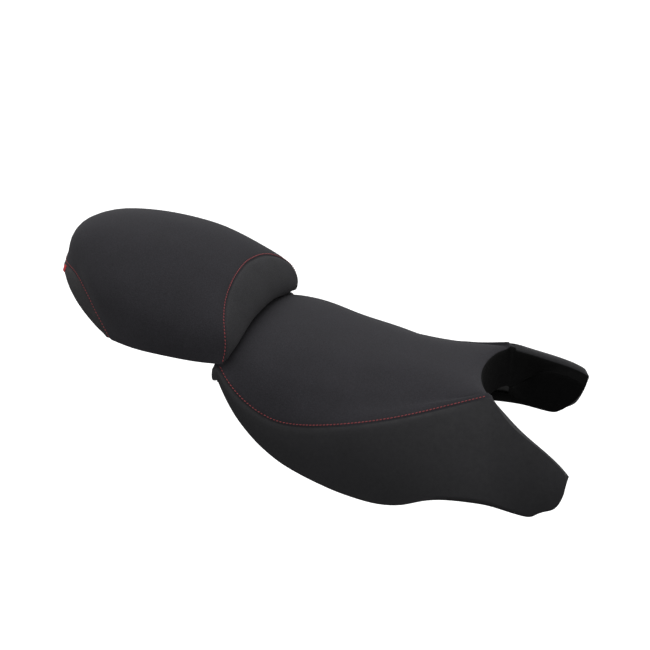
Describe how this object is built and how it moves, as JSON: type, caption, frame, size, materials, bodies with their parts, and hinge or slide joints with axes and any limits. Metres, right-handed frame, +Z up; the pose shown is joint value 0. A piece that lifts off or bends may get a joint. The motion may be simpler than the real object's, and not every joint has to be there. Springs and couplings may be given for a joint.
{
  "type": "motorcycle seat set",
  "caption": "Two-piece sport motorcycle seat: a rider seat whose two padded horns reach forward beside the tank, and a raised passenger seat that lifts off behind it.",
  "frame": {"origin": "underside of the rider seat's rear bracket, midway between its two bolt holes", "axes": "+X forward to the tank and the horns, +Y to the rider's left, +Z up"},
  "size_m": [0.7415, 0.3056, 0.2992],
  "materials": {
    "charcoal_suede": "matt short-nap suede, charcoal",
    "black_vinyl": "fine-grained matt vinyl, near black",
    "moulded_foam": "moulded open-cell foam",
    "pan_plastic": "black injection-moulded plastic, lightly textured",
    "red_thread": "dull red polyester thread",
    "red_label": "plain red woven tape",
    "zinc_steel": "zinc-plated sheet and rod",
    "bumper_rubber": "matt black rubber"
  },
  "bodies": {
    "rider_seat": {"rider_bracket_screw_left": "zinc_steel", "rider_bracket_screw_right": "zinc_steel", "rider_bumper_front_left": "bumper_rubber", "rider_bumper_front_right": "bumper_rubber", "rider_bumper_middle_left": "bumper_rubber", "rider_bumper_middle_right": "bumper_rubber", "rider_bumper_rear_left": "bumper_rubber", "rider_bumper_rear_right": "bumper_rubber", "rider_cover_side_left": "black_vinyl", "rider_cover_side_right": "black_vinyl", "rider_cover_top": "charcoal_suede", "rider_foam": "moulded_foam", "rider_front_tongue": "zinc_steel", "rider_pan": "pan_plastic", "rider_rear_bracket": "zinc_steel", "rider_stitching_left": "red_thread", "rider_stitching_right": "red_thread", "rider_tongue_screw_left": "zinc_steel", "rider_tongue_screw_right": "zinc_steel"},
    "passenger_seat": {"passenger_bumper_front_left": "bumper_rubber", "passenger_bumper_front_right": "bumper_rubber", "passenger_bumper_rear_left": "bumper_rubber", "passenger_bumper_rear_right": "bumper_rubber", "passenger_cover_front": "black_vinyl", "passenger_cover_rear": "black_vinyl", "passenger_cover_top": "charcoal_suede", "passenger_foam": "moulded_foam", "passenger_hook_left": "zinc_steel", "passenger_hook_right": "zinc_steel", "passenger_hook_screw_left": "zinc_steel", "passenger_hook_screw_right": "zinc_steel", "passenger_pan": "pan_plastic", "passenger_stitching_front": "red_thread", "passenger_stitching_rear": "red_thread", "passenger_striker": "zinc_steel", "passenger_striker_nut_left": "zinc_steel", "passenger_striker_nut_right": "zinc_steel", "passenger_striker_plate": "zinc_steel", "passenger_striker_screw_left": "zinc_steel", "passenger_striker_screw_right": "zinc_steel", "passenger_tag": "red_label"}
  },
  "joints": [
    {"name": "passenger_seat_lift", "type": "slide", "parent": "rider_seat", "child": "passenger_seat", "axis": [-0.2, 0, 0.9798], "range_m": [0, 0.25]}
  ]
}
